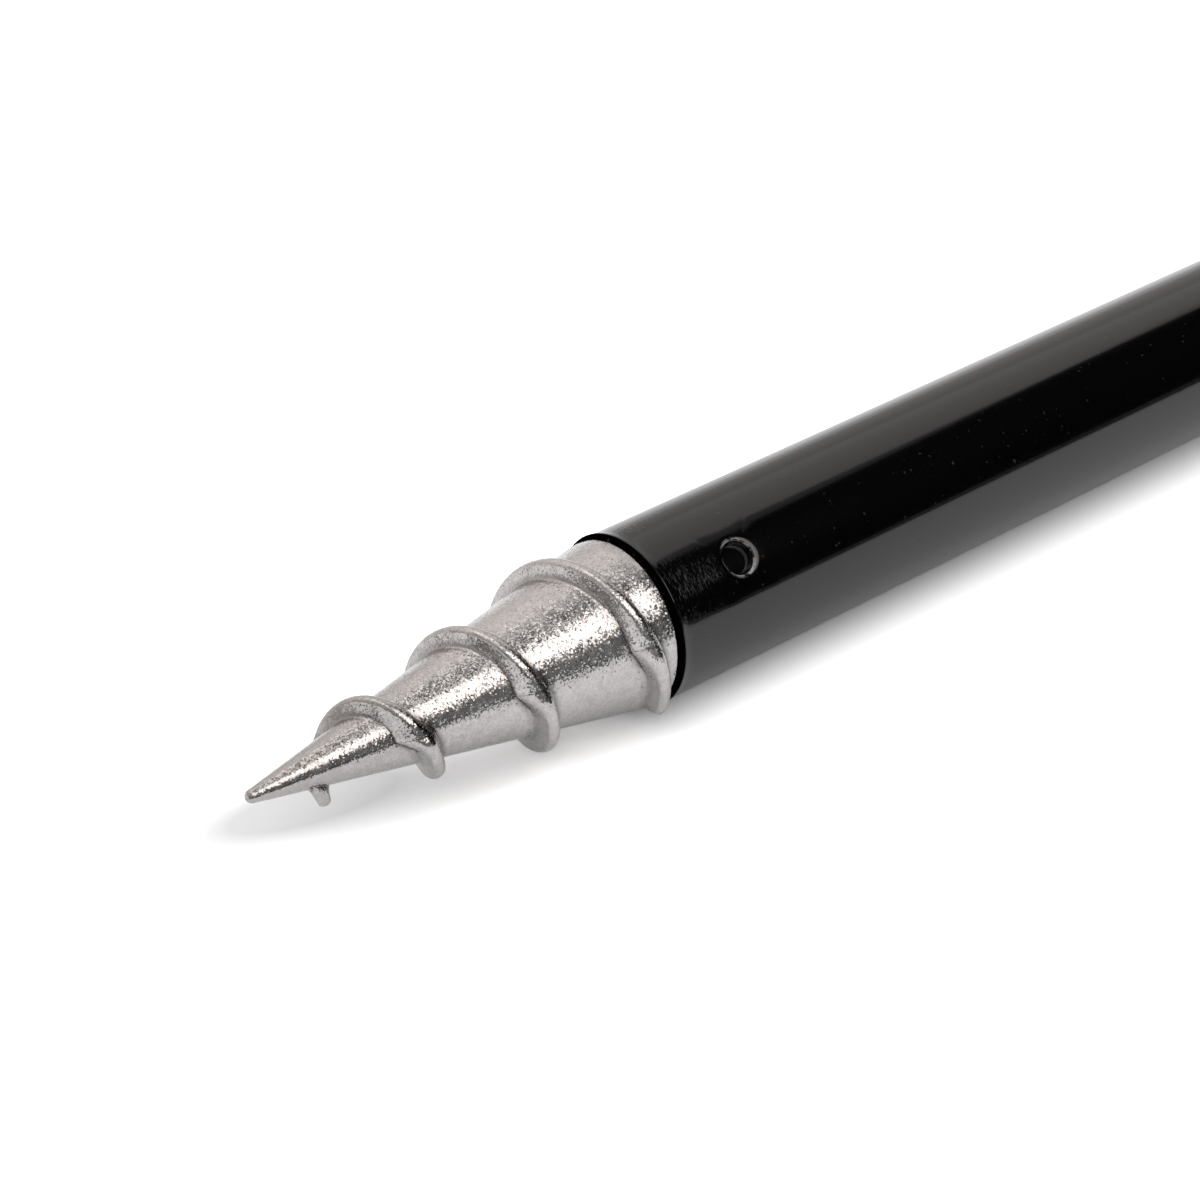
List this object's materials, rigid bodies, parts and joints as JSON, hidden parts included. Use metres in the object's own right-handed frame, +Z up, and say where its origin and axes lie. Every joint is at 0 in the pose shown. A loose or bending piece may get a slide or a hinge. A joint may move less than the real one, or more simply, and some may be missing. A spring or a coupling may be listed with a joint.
{
  "type": "telescopic bank stick",
  "caption": "Telescopic bank stick for angling: right-hand screw point, staked outer tube, thumb-screw collar and a sliding, turning inner tube with a threaded head.",
  "frame": {"origin": "on the surface that the stick lies on, under the middle of its box", "axes": "+X along the stick from the auger's tip to the threaded head, +Y away from the thumb screw, +Z up"},
  "size_m": [0.4474, 0.0458, 0.025],
  "materials": {
    "die_cast_aluminium": "as cast, fine grained, light grey",
    "black_enamel": "gloss black stoved enamel on aluminium tube",
    "black_nylon": "moulded, satin",
    "acetal": "natural, smooth",
    "brass": "machined",
    "steel": "zinc plated",
    "anodised_aluminium": "satin clear anodised, drawn tube",
    "rubber": "nitrile, matt"
  },
  "bodies": {
    "outer_stick": {"auger_point": "die_cast_aluminium", "outer_tube": "black_enamel", "clamp_collar": "black_nylon", "guide_bush": "acetal", "boss_insert": "brass", "collar_set_screw": "steel"},
    "foot_rings": {"foot_ring_1": "rubber", "foot_ring_2": "rubber"},
    "inner_section": {"inner_tube": "anodised_aluminium", "foot_bush": "acetal", "foot_pin": "steel", "head_cap": "black_nylon", "head_insert": "brass"},
    "clamp_pad": {"lock_pad": "acetal"},
    "clamp_screw": {"lock_screw": "steel", "lock_knob": "black_nylon", "knob_cap": "black_nylon"}
  },
  "joints": [
    {"name": "inner_slide", "type": "slide", "parent": "outer_stick", "child": "foot_rings", "axis": [1, 0, 0], "range_m": [0, 0.29]},
    {"name": "inner_turn", "type": "hinge", "parent": "foot_rings", "child": "inner_section", "pos_m": [0, 0.01037, 0.0125], "axis": [1, 0, 0], "continuous": true},
    {"name": "screw_travel", "type": "slide", "parent": "outer_stick", "child": "clamp_pad", "axis": [0, -0.9938, -0.1115], "range_m": [0, 0.003]},
    {"name": "screw_turn", "type": "hinge", "parent": "clamp_pad", "child": "clamp_screw", "pos_m": [0.1832, 0.01037, 0.0125], "axis": [0, -0.9938, -0.1115], "range_deg": [0, 1080]}
  ],
  "couplings": [
    {"joint": "screw_travel", "follows": "screw_turn", "m_per_rad": 0.00015915}
  ]
}
